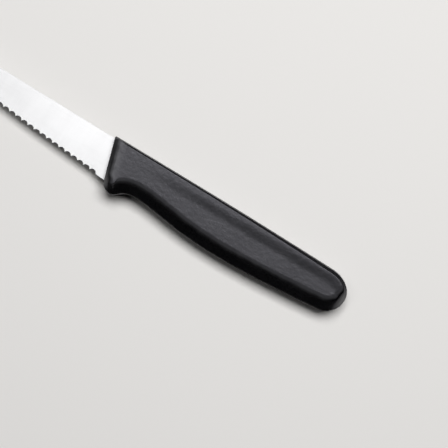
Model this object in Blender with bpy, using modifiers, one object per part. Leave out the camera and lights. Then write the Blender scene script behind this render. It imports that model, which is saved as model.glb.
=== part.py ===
"""A serrated vegetable knife lying on its side: a steel blade, and a plastic handle moulded round its tang.

Run it with blender --background --python part.py, or from Blender's text editor.
Lengths are metres and angles are degrees. +X runs from the tip to the butt, +Y towards the spine and +Z up.
Both outlines are drawn from a datum: the handle's top front corner, halfway through the handle's thickness.
A depth is measured down from the handle's top line, and a reach is measured back from the datum.
"""

import math

import bmesh
import bpy
import numpy as np
from mathutils import Matrix, Vector
from mathutils.geometry import interpolate_bezier

# Handle, seen from the side
HANDLE_LENGTH = 0.104
FRONT_SLANT = 16.2
FRONT_DEPTH = 0.0167
GUARD_REACH = 0.0091
GUARD_DEPTH = 0.0195
GUARD_BACK_REACH = 0.0122
GUARD_BACK_DEPTH = 0.0178
GUARD_BACK_ANGLE = 45.0
FINGER_REACH = 0.0187
FINGER_DEPTH = 0.0159
FINGER_RUN = 0.008
BELLY_REACH = 0.0547
BELLY_DEPTH = 0.0189
BELLY_FRONT_RUN = 0.020
BELLY_REAR_RUN = 0.010
BELLY_END_DEPTH = 0.0163
BELLY_END_ANGLE = 6.0
TOP_STRAIGHT = 0.0287
TOP_FALL = 0.0008
BUTT_DEPTH = 0.0085
BUTT_UPPER_ROUND = 0.0098
BUTT_LOWER_ROUND = 0.0075

# Handle, across its thickness
HANDLE_THICKNESS = 0.0124
FRONT_EDGE_RADIUS = 0.0030
FRONT_CROWN = 0.0002
FRONT_CROWN_WIDTH = 0.0060
TOP_FRONT_RADIUS = 0.0013
TOP_REAR_RADIUS = 0.0026
GUARD_CHAMFER_WIDTH = 0.0026
BELLY_CHAMFER_WIDTH = 0.0046
BELLY_CHAMFER_ANGLE = 33.0
BELLY_WALL_ANGLE = 88.0
BELLY_WALL_BLEND = 0.0008
BUTT_CHAMFER_WIDTH = 0.0066
BUTT_CHAMFER_ANGLE = 9.0
BUTT_WALL_ANGLE = 66.0
BUTT_WALL_BLEND = 0.0026
FLAT_BLEND_RUN = 0.0014
RIM_HEIGHT = 0.00025

# Blade, outside the handle
BLADE_LENGTH = 0.110
BLADE_THICKNESS = 0.0010
SPINE_DEPTH = 0.0010
SPINE_RISE_ANGLE = 0.6
HEEL_WIDTH = 0.0152
HEEL_EDGE_ANGLE = 2.9
HEEL_EDGE_RUN = 0.046
TIP_DROP = 0.0015
TIP_DROP_LENGTH = 0.026
TIP_EDGE_ANGLE = 17.0
TIP_EDGE_RUN = 0.023

# Serration
RICASSO = 0.0041
TOOTH_PITCH = 0.00282
GULLET_DEPTH = 0.0011
GRIND_ANGLE = 20.0
GRIND_INSET = 0.00005
TIP_PLAIN = 0.0060

# Tang, inside the handle
SHOULDER_INSET = 0.0026
TANG_LENGTH = 0.062
TANG_WIDTH = 0.0085
TANG_DROP = 0.0030
TANG_HOLE_RADIUS = 0.0025
FRONT_HOLE_REACH = 0.0150
REAR_HOLE_INSET = 0.0120

# Fit between the moulded handle and the tang
MOULD_CLEARANCE = 0.0003

# Materials
PLASTIC_COLOUR = (0.012, 0.012, 0.013)
PLASTIC_ROUGHNESS = 0.42
STEEL_COLOUR = (0.72, 0.72, 0.73)
STEEL_ROUGHNESS = 0.22

# Fineness of the surfaces
ARC_STEPS = 6
BUTT_STEPS = 8
GRIP_STEPS = 12
EDGE_STEPS = 5
BELLY_STEPS = 8
RIM_FINENESS = 8
EDGE_CURVE_STEPS = 400
EDGE_STEPS_KEPT = 40
SPINE_STEPS = 10
CIRCLE_STEPS = 32
FLAT_MARGIN = 0.0003
CUTTER_OVERSHOOT = 0.004
MERGE_DISTANCE = 0.00001
SMOOTH_ANGLE = 30.0

HALF_THICKNESS = HANDLE_THICKNESS / 2
CIRCLE_HANDLE = 4 / 3 * (math.sqrt(2) - 1)


def heading(angle):
    """The unit vector at an angle up from +X."""
    return Vector((math.cos(math.radians(angle)), math.sin(math.radians(angle))))


def curve_points(start, start_handle, end_handle, end, steps):
    """Points along one Bezier segment, without its end point."""
    return [p.to_2d() for p in interpolate_bezier(start, start_handle, end_handle, end, steps + 1)][:-1]


def arc_over(start, end, rise, steps):
    """Points of the arc between two points that rises to the right of the way there, without its end."""
    chord = end - start
    right = Vector((chord.y, -chord.x)).normalized()
    radius = (chord.length ** 2 / 4 + rise ** 2) / (2 * rise)
    centre = (start + end) / 2 + right * (rise - radius)
    sweep = 2 * math.atan2(chord.length / 2, radius - rise)
    spoke = start - centre
    return [centre + Matrix.Rotation(sweep * k / steps, 2) @ spoke for k in range(steps)]


def new_collection(name):
    collection = bpy.data.collections.new(name)
    bpy.context.scene.collection.children.link(collection)
    return collection


def new_material(name, colour, roughness, metallic):
    material = bpy.data.materials.new(name)
    material.use_nodes = True
    shader = material.node_tree.nodes["Principled BSDF"]
    shader.inputs["Base Color"].default_value = (*colour, 1)
    shader.inputs["Roughness"].default_value = roughness
    shader.inputs["Metallic"].default_value = metallic
    return material


def flat_plate(name, outlines, thickness, collection):
    """A flat plate from one closed outline, with every further outline cut out of it as a hole."""
    curve = bpy.data.curves.new(name, "CURVE")
    curve.dimensions = "2D"
    curve.fill_mode = "BOTH"
    curve.extrude = thickness / 2
    for outline in outlines:
        spline = curve.splines.new("POLY")
        spline.points.add(len(outline) - 1)
        for point, place in zip(spline.points, outline):
            point.co = (place.x, place.y, 0, 1)
        spline.use_cyclic_u = True
    drawn = bpy.data.objects.new(name, curve)
    bpy.context.scene.collection.objects.link(drawn)
    depsgraph = bpy.context.evaluated_depsgraph_get()
    mesh = bpy.data.meshes.new_from_object(drawn.evaluated_get(depsgraph))
    bpy.data.objects.remove(drawn)
    bpy.data.curves.remove(curve)
    welded = bmesh.new()
    welded.from_mesh(mesh)
    bmesh.ops.remove_doubles(welded, verts=welded.verts, dist=MERGE_DISTANCE)
    bmesh.ops.recalc_face_normals(welded, faces=welded.faces)
    welded.to_mesh(mesh)
    welded.free()
    mesh.shade_flat()
    plate = bpy.data.objects.new(name, mesh)
    collection.objects.link(plate)
    return plate


def circle_points(centre, radius):
    turns = [2 * math.pi * k / CIRCLE_STEPS for k in range(CIRCLE_STEPS)]
    return [centre + radius * Vector((math.cos(turn), math.sin(turn))) for turn in turns]


def cut(target, cutter):
    modifier = target.modifiers.new(cutter.name, "BOOLEAN")
    modifier.operation = "DIFFERENCE"
    modifier.solver = "EXACT"
    modifier.object = cutter
    cutter.hide_render = True
    cutter.display_type = "WIRE"


# Handle


def front_foot():
    """The lower end of the front face's straight run."""
    return Vector((FRONT_DEPTH * math.tan(math.radians(FRONT_SLANT)), -FRONT_DEPTH))


def front_distance(place):
    """How far a place lies behind the plane of the front face."""
    slant = math.radians(FRONT_SLANT)
    return place[0] * math.cos(slant) + place[1] * math.sin(slant)


def top_height(reach):
    """Height of the handle's top line, which runs straight and then falls away towards the butt."""
    end = HANDLE_LENGTH - BUTT_UPPER_ROUND
    share = max((reach - TOP_STRAIGHT) / (end - TOP_STRAIGHT), 0)
    return -TOP_FALL * share ** 2


def butt_tip():
    return Vector((HANDLE_LENGTH, -BUTT_DEPTH))


def upper_butt(steps):
    """The round from the end of the top line to the rearmost point."""
    end = HANDLE_LENGTH - BUTT_UPPER_ROUND
    start = Vector((end, top_height(end)))
    tip = butt_tip()
    slope = 2 * TOP_FALL / (end - TOP_STRAIGHT)
    start_handle = start + Vector((1, -slope)) * BUTT_UPPER_ROUND * CIRCLE_HANDLE
    end_handle = tip + Vector((0, start.y - tip.y)) * CIRCLE_HANDLE
    return curve_points(start, start_handle, end_handle, tip, steps)


def lower_edge(fineness=1):
    """The handle's lower edge, from the foot of the front face round the guard and the belly to the butt."""
    foot = front_foot()
    guard = Vector((GUARD_REACH, -GUARD_DEPTH))
    back = Vector((GUARD_BACK_REACH, -GUARD_BACK_DEPTH))
    finger = Vector((FINGER_REACH, -FINGER_DEPTH))
    belly = Vector((BELLY_REACH, -BELLY_DEPTH))
    end = Vector((HANDLE_LENGTH - BUTT_LOWER_ROUND, -BELLY_END_DEPTH))
    tip = butt_tip()
    along = Vector((1, 0))
    down = heading(FRONT_SLANT - 90)
    back_rise = heading(GUARD_BACK_ANGLE)
    end_rise = heading(BELLY_END_ANGLE)
    down_run = (foot.y - guard.y) * CIRCLE_HANDLE
    guard_run = (guard.x - foot.x) * CIRCLE_HANDLE
    back_run = (back - guard).length / 3
    neck_run = (finger - back).length / 3
    end_run = (end - belly).length / 3
    butt_run = BUTT_LOWER_ROUND * CIRCLE_HANDLE
    tip_drop = Vector((0, (tip.y - end.y) * CIRCLE_HANDLE))
    spans = (
        (foot, foot + down * down_run, guard - along * guard_run, guard, ARC_STEPS),
        (guard, guard + along * back_run, back - back_rise * back_run, back, ARC_STEPS // 2),
        (back, back + back_rise * neck_run, finger - along * neck_run, finger, ARC_STEPS // 2),
        (finger, finger + along * FINGER_RUN, belly - along * BELLY_FRONT_RUN, belly, GRIP_STEPS),
        (belly, belly + along * BELLY_REAR_RUN, end - end_rise * end_run, end, GRIP_STEPS),
        (end, end + end_rise * butt_run, tip - tip_drop, tip, BUTT_STEPS),
    )
    points = []
    for start, start_handle, end_handle, finish, steps in spans:
        points += curve_points(start, start_handle, end_handle, finish, steps * fineness)
    return points + [tip]


def upper_edge(lower):
    """A point of the upper edge for each of the lower; the first pairs lie parallel to the front face."""
    first_span = lower[:ARC_STEPS + 1]
    middle_spans = lower[ARC_STEPS + 1:-BUTT_STEPS - 1]
    slant = math.radians(FRONT_SLANT)
    reaches = [front_distance(p) / math.cos(slant) for p in first_span]
    knots = (GUARD_REACH, FINGER_REACH, HANDLE_LENGTH - BUTT_LOWER_ROUND)
    above = (reaches[-1], FINGER_REACH, HANDLE_LENGTH - BUTT_UPPER_ROUND)
    reaches += [float(np.interp(p.x, knots, above)) for p in middle_spans]
    points = [Vector((reach, top_height(reach))) for reach in reaches]
    return points + upper_butt(BUTT_STEPS) + [butt_tip()]


def rim():
    """The outline without the front face, as closely spaced places and the outward normal at each."""
    lower = lower_edge(RIM_FINENESS)
    top_end = HANDLE_LENGTH - BUTT_UPPER_ROUND
    reaches = np.linspace(0, top_end, 2 * GRIP_STEPS * RIM_FINENESS, endpoint=False)
    top = [Vector((reach, top_height(reach))) for reach in reaches]
    clockwise = top + upper_butt(BUTT_STEPS * RIM_FINENESS) + lower[::-1]
    places = np.array([(p.x, p.y) for p in clockwise])
    steps = np.gradient(places, axis=0)
    normals = np.stack((-steps[:, 1], steps[:, 0]), axis=1)
    return places, normals / np.linalg.norm(normals, axis=1, keepdims=True)


def rounding(distance, radius):
    """How much a rounded edge takes off the height at a distance inside it."""
    return radius - math.sqrt(radius ** 2 - max(radius - distance, 0) ** 2)


def soft_lower(first, second, blend):
    """The lower of two heights, run into one another where they differ by less than the blend."""
    share = min(max(0.5 + (second - first) / (2 * blend), 0), 1)
    return first * share + second * (1 - share) - blend * share * (1 - share)


def chamfered(distance, width, chamfer_angle, wall_angle, wall_blend):
    """Height at a distance inside an edge that rises as a steep wall, then as a chamfer up to the flat."""
    rise = math.tan(math.radians(chamfer_angle))
    wall = RIM_HEIGHT + distance * math.tan(math.radians(wall_angle))
    chamfer = HALF_THICKNESS - (width - distance) * rise
    return soft_lower(soft_lower(HALF_THICKNESS, chamfer, FLAT_BLEND_RUN * rise), wall, wall_blend)


def top_radius(reach):
    """Radius of the top edge's round, which grows from the front towards the butt."""
    return float(np.interp(reach, (0, HANDLE_LENGTH), (TOP_FRONT_RADIUS, TOP_REAR_RADIUS)))


def rim_distance(place, rim_places, rim_normals):
    """The number of the place on the rim that is nearest to a place, and how far inside the rim it lies."""
    offsets = rim_places - np.array(place)
    nearest = int((offsets ** 2).sum(axis=1).argmin())
    offset = offsets[nearest]
    if nearest == len(rim_places) - 1:
        return nearest, float(np.linalg.norm(offset))
    return nearest, max(float(offset @ rim_normals[nearest]), 0)


def rim_shares(rim_place, rim_normal):
    """How far a place on the rim counts as the top edge, the butt and the belly."""
    butt_share = rim_normal[0] ** 2 if rim_place[0] > BELLY_REACH else 0
    top_share = 1 - butt_share if rim_normal[1] > 0 else 0
    return top_share, butt_share, 1 - butt_share - top_share


def section_height(distance, rim_place, rim_normal):
    """Height of the side at a distance inside a place on the rim."""
    top_share, butt_share, belly_share = rim_shares(rim_place, rim_normal)
    guard = (front_foot().x, GUARD_BACK_REACH)
    belly_width = float(np.interp(rim_place[0], guard, (GUARD_CHAMFER_WIDTH, BELLY_CHAMFER_WIDTH)))
    top = HALF_THICKNESS - rounding(distance, top_radius(rim_place[0]))
    butt = chamfered(distance, BUTT_CHAMFER_WIDTH, BUTT_CHAMFER_ANGLE, BUTT_WALL_ANGLE, BUTT_WALL_BLEND)
    belly = chamfered(distance, belly_width, BELLY_CHAMFER_ANGLE, BELLY_WALL_ANGLE, BELLY_WALL_BLEND)
    return top_share * top + butt_share * butt + belly_share * belly


def surface_height(place, rim_places, rim_normals):
    """Height of the handle's side above its middle plane: flat, with a rounded front and worked edges."""
    nearest, distance = rim_distance(place, rim_places, rim_normals)
    height = section_height(distance, rim_places[nearest], rim_normals[nearest])
    behind = max(front_distance(place), 0)
    front_cut = rounding(behind, FRONT_EDGE_RADIUS)
    front_cut += FRONT_CROWN * max(1 - behind / FRONT_CROWN_WIDTH, 0) ** 2
    return height * (1 - front_cut / HALF_THICKNESS)


def line_places(upper, lower):
    """Places down one line across the side, close together where the edges are worked."""
    edge_width = top_radius(upper.x) + FLAT_MARGIN
    belly_width = BELLY_CHAMFER_WIDTH + FLAT_BLEND_RUN + FLAT_MARGIN
    quarter = math.pi / 2
    from_top = [edge_width * (1 - math.cos(quarter * k / EDGE_STEPS)) for k in range(EDGE_STEPS + 1)]
    from_belly = [belly_width * (1 - math.cos(quarter * k / BELLY_STEPS)) for k in range(BELLY_STEPS + 1)]
    across = lower - upper
    shrink = min(1, across.length / (BELLY_END_DEPTH - TOP_FALL))
    along = across.normalized() * shrink
    return [upper + along * gap for gap in from_top] + [lower - along * gap for gap in from_belly[::-1]]


def half_handle():
    """The handle's near half as an open surface: its side, and its edge down to the middle plane."""
    half = bmesh.new()
    rim_places, rim_normals = rim()

    def add_corner(place):
        return half.verts.new((place.x, place.y, surface_height(place, rim_places, rim_normals)))

    lower = lower_edge()
    upper = upper_edge(lower)
    lines = [[add_corner(p) for p in line_places(*ends)] for ends in zip(upper[:-1], lower[:-1])]
    tip = add_corner(lower[-1])
    for line, following in zip(lines, lines[1:]):
        for k in range(len(line) - 1):
            half.faces.new((line[k], line[k + 1], following[k + 1], following[k]))
    for above, below in zip(lines[-1], lines[-1][1:]):
        half.faces.new((above, below, tip))
    top_side = [line[0] for line in lines]
    low_side = [line[-1] for line in lines]
    loop = top_side + [tip] + low_side[::-1] + lines[0][-2:0:-1]
    feet = [half.verts.new((corner.co.x, corner.co.y, 0)) for corner in loop]
    for k in range(len(loop)):
        ahead = (k + 1) % len(loop)
        half.faces.new((loop[k], loop[ahead], feet[ahead], feet[k]))
    mesh = bpy.data.meshes.new("handle")
    half.to_mesh(mesh)
    half.free()
    return mesh


def make_handle(collection, pocket):
    handle = bpy.data.objects.new("handle", half_handle())
    collection.objects.link(handle)
    mirror = handle.modifiers.new("both sides", "MIRROR")
    mirror.use_axis = (False, False, True)
    mirror.merge_threshold = MERGE_DISTANCE
    cut(handle, pocket)
    handle.data.shade_smooth()
    handle.data.set_sharp_from_angle(angle=math.radians(SMOOTH_ANGLE))
    handle.data.materials.append(new_material("black plastic", PLASTIC_COLOUR, PLASTIC_ROUGHNESS, 0))
    return handle


# Blade, drawn from where its spine leaves the handle, with +X along the spine towards the butt


def front_line(depth, inset=0):
    """Reach of a line parallel to the handle's front face, at a depth below the spine."""
    slant = math.radians(FRONT_SLANT + SPINE_RISE_ANGLE)
    return depth * math.tan(slant) + inset / math.cos(slant)


def heel():
    """Where the edge line meets the handle."""
    return Vector((front_line(HEEL_WIDTH), -HEEL_WIDTH))


def edge_line():
    """The edge from the heel to the tip as many short steps, so that teeth can be set out along it."""
    start = heel()
    tip = Vector((-BLADE_LENGTH, -TIP_DROP))
    start_handle = start - heading(-HEEL_EDGE_ANGLE) * HEEL_EDGE_RUN
    end_handle = tip + heading(-TIP_EDGE_ANGLE) * TIP_EDGE_RUN
    return curve_points(start, start_handle, end_handle, tip, EDGE_CURVE_STEPS) + [tip]


def spine_line():
    """The spine's last stretch, from where it starts to drop to just before the tip."""
    start = Vector((TIP_DROP_LENGTH - BLADE_LENGTH, 0))
    tip = Vector((-BLADE_LENGTH, -TIP_DROP))
    middle = Vector(((start.x * 2 + tip.x) / 3, 0))
    late = Vector(((start.x + tip.x * 2) / 3, -TIP_DROP / 3))
    return curve_points(start, middle, late, tip, SPINE_STEPS)


def tang_outline(grow):
    """The blank inside the handle, from its shoulder at the spine round the tang to its lower shoulder."""
    tang_foot = TANG_DROP + TANG_WIDTH
    radius = TANG_WIDTH / 2
    centre = Vector((TANG_LENGTH - radius, -TANG_DROP - radius))
    low_shoulder = edge_height(front_line(HEEL_WIDTH, SHOULDER_INSET + grow)) - grow
    upper = [
        Vector((front_line(-grow, SHOULDER_INSET + grow), grow)),
        Vector((front_line(TANG_DROP - grow, SHOULDER_INSET + grow), grow - TANG_DROP)),
    ]
    turns = [math.pi / 2 - math.pi * k / CIRCLE_STEPS * 2 for k in range(CIRCLE_STEPS // 2 + 1)]
    end = [centre + (radius + grow) * Vector((math.cos(turn), math.sin(turn))) for turn in turns]
    lower = [
        Vector((front_line(tang_foot + grow, SHOULDER_INSET + grow), -tang_foot - grow)),
        Vector((front_line(-low_shoulder, SHOULDER_INSET + grow), low_shoulder)),
    ]
    return upper + end + lower


def edge_height(reach):
    """Height of the edge line carried straight on from the heel into the handle."""
    start = heel()
    return start.y - (reach - start.x) * math.tan(math.radians(HEEL_EDGE_ANGLE))


def tang_holes():
    centre_height = -TANG_DROP - TANG_WIDTH / 2
    reaches = (FRONT_HOLE_REACH, TANG_LENGTH - REAR_HOLE_INSET)
    return [Vector((reach, centre_height)) for reach in reaches]


def cusps():
    """Points of the teeth, a little inside the edge line, evenly spaced from ricasso to plain tip."""
    line = [(p.x, p.y + GRIND_INSET) for p in edge_line()]
    places = np.array(line)
    lengths = np.concatenate(([0], np.cumsum(np.linalg.norm(np.diff(places, axis=0), axis=1))))
    count = int((lengths[-1] - RICASSO - TIP_PLAIN) / TOOTH_PITCH)
    stations = RICASSO + TOOTH_PITCH * np.arange(count + 1)
    return [Vector((float(np.interp(s, lengths, places[:, 0])), float(np.interp(s, lengths, places[:, 1]))))
            for s in stations]


def serration_cutter(collection):
    """A plate with a round lobe for each gullet, leaned over so that it grinds the far side further back."""
    points = cusps()
    outline = []
    for start, end in zip(points, points[1:]):
        outline += arc_over(start, end, GULLET_DEPTH, ARC_STEPS)
    outline.append(points[-1])
    floor = -HEEL_WIDTH - CUTTER_OVERSHOOT
    outline += [Vector((points[-1].x, floor)), Vector((points[0].x, floor))]
    cutter = flat_plate("serration cutter", [outline], 2 * BLADE_THICKNESS, collection)
    lean = Matrix.Identity(4)
    lean[1][2] = -1 / math.tan(math.radians(GRIND_ANGLE))
    lean[1][3] = BLADE_THICKNESS / 2 / math.tan(math.radians(GRIND_ANGLE))
    cutter.data.transform(lean)
    return cutter


def blade_outline():
    """The whole blank with an uncut edge: spine, tang and edge, clockwise from near the tip back to it."""
    return spine_line()[::-1] + tang_outline(0) + edge_line()[::EDGE_CURVE_STEPS // EDGE_STEPS_KEPT]


def make_blade(collection, cutters):
    holes = [circle_points(centre, TANG_HOLE_RADIUS) for centre in tang_holes()]
    blade = flat_plate("blade", [blade_outline()] + holes, BLADE_THICKNESS, collection)
    serration = serration_cutter(cutters)
    cut(blade, serration)
    blade.data.materials.append(new_material("stainless steel", STEEL_COLOUR, STEEL_ROUGHNESS, 1))
    return blade, serration


def make_pocket(cutters):
    """The room that the handle leaves round the tang, open at the front face, with its pegs standing."""
    gap = MOULD_CLEARANCE
    mouth = -CUTTER_OVERSHOOT
    outline = [Vector((mouth, gap))] + tang_outline(gap) + [Vector((mouth, edge_height(mouth) - gap))]
    pegs = [circle_points(centre, TANG_HOLE_RADIUS - gap) for centre in tang_holes()]
    return flat_plate("tang pocket", [outline] + pegs, BLADE_THICKNESS + 2 * gap, cutters)


# Assembly


def blade_place():
    """Where the blade's spine leaves the handle."""
    return Vector((SPINE_DEPTH * math.tan(math.radians(FRONT_SLANT)), -SPINE_DEPTH))


def bounding_centre():
    """The centre of the whole knife seen from the side."""
    turn = Matrix.Rotation(math.radians(-SPINE_RISE_ANGLE), 2)
    places = lower_edge() + [Vector((0, 0))] + [blade_place() + turn @ p for p in blade_outline()]
    reaches = [p.x for p in places]
    heights = [p.y for p in places]
    return (min(reaches) + max(reaches)) / 2, (min(heights) + max(heights)) / 2


def main():
    for leftover in list(bpy.data.objects):
        bpy.data.objects.remove(leftover)
    parts = new_collection("vegetable knife")
    cutters = new_collection("cutters")
    blade, serration = make_blade(parts, cutters)
    pocket = make_pocket(cutters)
    handle = make_handle(parts, pocket)
    centre_x, centre_y = bounding_centre()
    datum = bpy.data.objects.new("handle datum", None)
    datum.location = (-centre_x, -centre_y, HALF_THICKNESS)
    parts.objects.link(datum)
    handle.parent = datum
    for piece in (blade, serration, pocket):
        piece.parent = datum
        piece.location = (*blade_place(), 0)
        piece.rotation_euler.z = math.radians(-SPINE_RISE_ANGLE)


main()
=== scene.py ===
"""The looks of a serrated vegetable knife: a fine moulding and a ground blade, on a pale floor.

Lengths are metres and angles are degrees. +X runs from the tip to the butt, +Y towards the spine and +Z up.
Both outlines are drawn from a datum: the handle's top front corner, halfway through the handle's thickness.
"""

import math

import bmesh
import bpy
import numpy as np
from mathutils import Matrix, Vector
from mathutils.geometry import interpolate_bezier


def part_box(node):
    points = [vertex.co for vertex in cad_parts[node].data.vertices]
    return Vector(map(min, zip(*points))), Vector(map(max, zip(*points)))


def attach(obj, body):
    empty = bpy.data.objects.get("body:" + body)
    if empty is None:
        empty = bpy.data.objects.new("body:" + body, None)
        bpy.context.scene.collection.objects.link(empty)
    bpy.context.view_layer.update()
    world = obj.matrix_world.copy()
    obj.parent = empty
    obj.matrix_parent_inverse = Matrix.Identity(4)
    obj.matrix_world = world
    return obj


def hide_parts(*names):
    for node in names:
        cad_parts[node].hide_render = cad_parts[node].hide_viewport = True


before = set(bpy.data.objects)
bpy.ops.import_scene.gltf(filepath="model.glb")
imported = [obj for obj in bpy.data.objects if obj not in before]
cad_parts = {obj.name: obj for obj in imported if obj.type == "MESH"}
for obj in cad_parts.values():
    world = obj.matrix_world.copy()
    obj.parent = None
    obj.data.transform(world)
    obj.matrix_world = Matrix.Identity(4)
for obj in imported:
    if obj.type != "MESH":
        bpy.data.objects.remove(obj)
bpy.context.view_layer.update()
HANDLE_LOW, HANDLE_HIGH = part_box("handle")
BLADE_LOW, BLADE_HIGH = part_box("blade")
DATUM = Vector((HANDLE_LOW[0], HANDLE_HIGH[1], (HANDLE_LOW[2] + HANDLE_HIGH[2]) / 2))

# Handle, seen from the side
HANDLE_LENGTH = HANDLE_HIGH[0] - HANDLE_LOW[0]
FRONT_SLANT = 16.2
FRONT_DEPTH = 0.0167
GUARD_REACH = 0.0091
GUARD_DEPTH = 0.0195
GUARD_BACK_REACH = 0.0122
GUARD_BACK_DEPTH = 0.0178
GUARD_BACK_ANGLE = 45.0
FINGER_REACH = 0.0187
FINGER_DEPTH = 0.0159
FINGER_RUN = 0.008
BELLY_REACH = 0.0547
BELLY_DEPTH = 0.0189
BELLY_FRONT_RUN = 0.020
BELLY_REAR_RUN = 0.010
BELLY_END_DEPTH = 0.0163
BELLY_END_ANGLE = 6.0
TOP_STRAIGHT = 0.0287
TOP_FALL = 0.0008
BUTT_DEPTH = 0.0085
BUTT_UPPER_ROUND = 0.0098
BUTT_LOWER_ROUND = 0.0075

# Handle, across its thickness
HALF_THICKNESS = (HANDLE_HIGH[2] - HANDLE_LOW[2]) / 2
FRONT_EDGE_RADIUS = 0.0030
FRONT_CROWN = 0.0002
FRONT_CROWN_WIDTH = 0.0060
RIM_HEIGHT = 0.00025
NOSE_RADIUS = 0.0024
TOP_FRONT_WIDTH = 0.0009
TOP_REAR_WIDTH = 0.0016
GUARD_CHAMFER_WIDTH = 0.0026
BELLY_CHAMFER_WIDTH = 0.0046
BUTT_CHAMFER_WIDTH = 0.0066
BUTT_TURN_POWER = 6.0
# The run of the blend into the flat, the angles of the chamfer and of the wall, and the blend between those
TOP_CHAMFER = (0.00016, 42.0, 86.0, 0.0005)
BELLY_CHAMFER = (0.0014, 37.0, 88.0, 0.0008)
BUTT_CHAMFER = (0.0014, 9.0, 62.0, 0.0026)

# Shallow hollow that the thick plastic shrank into as it cooled
SINK_DEPTH = 0.00023
SINK_START = 0.008
SINK_FULL = 0.045
TOP_SINK_EDGE = 0.0025
TOP_SINK_FLOOR = 0.0068
TOP_SINK_SHIFT = 0.0012
BUTT_SINK_EDGE = 0.0048
BUTT_SINK_FLOOR = 0.0079

# Rubbing of the handle's corners by hands, and a highlight painted in the same lighter grey just behind the
# front face
RUB_SPREAD = 0.0009
FRONT_HIGHLIGHT_SPREAD = 0.0016
FRONT_HIGHLIGHT_FOOT = (-0.0150, -0.0125)
TOP_RUB = 0.05
BUTT_RUB = 0.4
BELLY_RUB = 0.25

# Handle mesh, whose rings of points close in on a middle line
MIDDLE_FRONT = Vector((0.0088, -0.0080))
MIDDLE_BUTT = Vector((0.0962, -0.0082))
TOP_LEAD = 0.0040
STATIONS = 200
ROWS = 64
WALL_ROWS = 6
CORNER_STEPS = 24
BUTT_STEPS = 40
GUARD_STEPS = 30
TOP_LINE_STEPS = 600
LONG_LINE_STEPS = 400
ROUND_STEPS = 200
PLACES_AT_ONCE = 2000
PARTING_RISE = 0.00004
PARTING_HALF_WIDTH = 0.00010
PARTING_LEVEL_SHARE = 0.4
HANDLE_SHARP_ANGLE = 35.0

# Blade
BLADE_LENGTH = 0.110
BLADE_THICKNESS = BLADE_HIGH[2] - BLADE_LOW[2]
SPINE_DEPTH = 0.0010
SPINE_RISE_ANGLE = 0.6
HEEL_WIDTH = 0.0152
HEEL_EDGE_ANGLE = 2.9
HEEL_EDGE_RUN = 0.046
TIP_DROP = 0.0015
TIP_DROP_LENGTH = 0.026
TIP_EDGE_ANGLE = 17.0
TIP_EDGE_RUN = 0.023
CORNER_SOFTENING = 0.00012
CORNER_ROWS = 3
ROUND_PROFILE = 0.5
UPRIGHT_TILT = 0.01
BLADE_SHARP_ANGLE = 24.0
GROUND_FACES = 1
EDGE_FACES = 2

# Serration, between a plain stretch at the heel, the ricasso, and another at the tip
RICASSO = 0.0041
TOOTH_PITCH = 0.00282
GULLET_DEPTH = 0.0011
GRIND_ANGLE = 20.0
GRIND_INSET = 0.00005
TIP_PLAIN = 0.0060
LAST_CUSP_GAP = TOOTH_PITCH / 4
GULLET_STEPS = 14
CUTTER_THICKNESS = 2 * BLADE_THICKNESS

# Tang
SHOULDER_INSET = 0.0026
TANG_LENGTH = 0.062
TANG_WIDTH = 0.0085
TANG_DROP = 0.0030
TANG_HOLE_RADIUS = 0.0025
FRONT_HOLE_REACH = 0.0150
REAR_HOLE_INSET = 0.0120
SEAM = 0.00004

# Steps and measures that the outlines share
EDGE_CURVE_STEPS = 400
EDGE_STEPS_KEPT = 100
SPINE_STEPS = 24
CIRCLE_STEPS = 48
CUTTER_OVERSHOOT = 0.004
MERGE_DISTANCE = 0.000002
CIRCLE_HANDLE = 4 / 3 * (math.sqrt(2) - 1)

# Camera, straight above, turned so that the handle points down to the right as in the photograph.
# Its lens and sensor are in millimetres.
VIEW_CENTRE = (0.0539, 0.0025, HALF_THICKNESS)
CAMERA_HEIGHT = 0.4618
CAMERA_TURN = 31.1
LENS = 100.0
SENSOR = 36.0
CLIP_START = 0.01

# Materials. A noise is given by the size of its features and by its detail. A ramp is given by the two
# values that it runs between, and some by what these become as well. A kind of hairline is given by its
# angle, length, width and rarity.
NOISE_SPAN = (0.3, 0.7)
ROUGHNESS_SPREAD = 0.02
HAIRLINE_BLUR = 0.05

# The numbers of the colour mixing node's sockets
MIX_SHARE = 0
MIX_FIRST = 6
MIX_SECOND = 7
MIXED_COLOUR = 2

# Plastic, where level is how far a place faces up or down, from 0 on an upright wall to 1 on a flat
PLASTIC_COLOUR = (0.0011, 0.0011, 0.0014)
PLASTIC_SHEEN = (0.92, 0.91, 1.0)
PLASTIC_ROUGHNESS = 0.37
PLASTIC_SPECULAR = 0.50
PLASTIC_CLOUDS = (0.011, 3)
WALL_ROUGHNESS = 0.60
WALL_LEVELS = (0.25, 0.6)
POLISH = 0.11
POLISH_LEVELS = (0.88, 0.94)
RIDGE_DULLING = 0.25
RIDGE_START = (0.93, 0.95)
RIDGE_END = (0.985, 0.995)
# A lighter grey, for the rubbed corners and for the painted highlight behind the front face
RUBBED_AND_HIGHLIGHT_COLOUR = (0.056, 0.056, 0.058)
RUBBED_DULLING = 0.16
WEAR_AND_HIGHLIGHT_PATCHES = (0.0035, 3)
WEAR_AND_HIGHLIGHT_SHARES = (0.35, 0.62, 0.35, 1)
SCRATCHES = ((12, 0.009, 0.00012, 0.735), (-38, 0.006, 0.00010, 0.745), (71, 0.005, 0.00010, 0.75))
SCRATCHED_PATCHES = (0.016, 1)
SCRATCHED_SHARES = (0.42, 0.6, 0.2, 1)
SCRATCHED_LEVELS = (0.85, 0.97)
SCRATCH_PALENESS = 0.4
SCRATCH_DULLING = 0.08
SCRATCH_DEPTH = 0.000006
GRAIN = (0.00045, 2)
GRAIN_DEPTH = 0.000014
WAVES = (0.0014, 1)
WAVE_DEPTH = 0.000036

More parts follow.
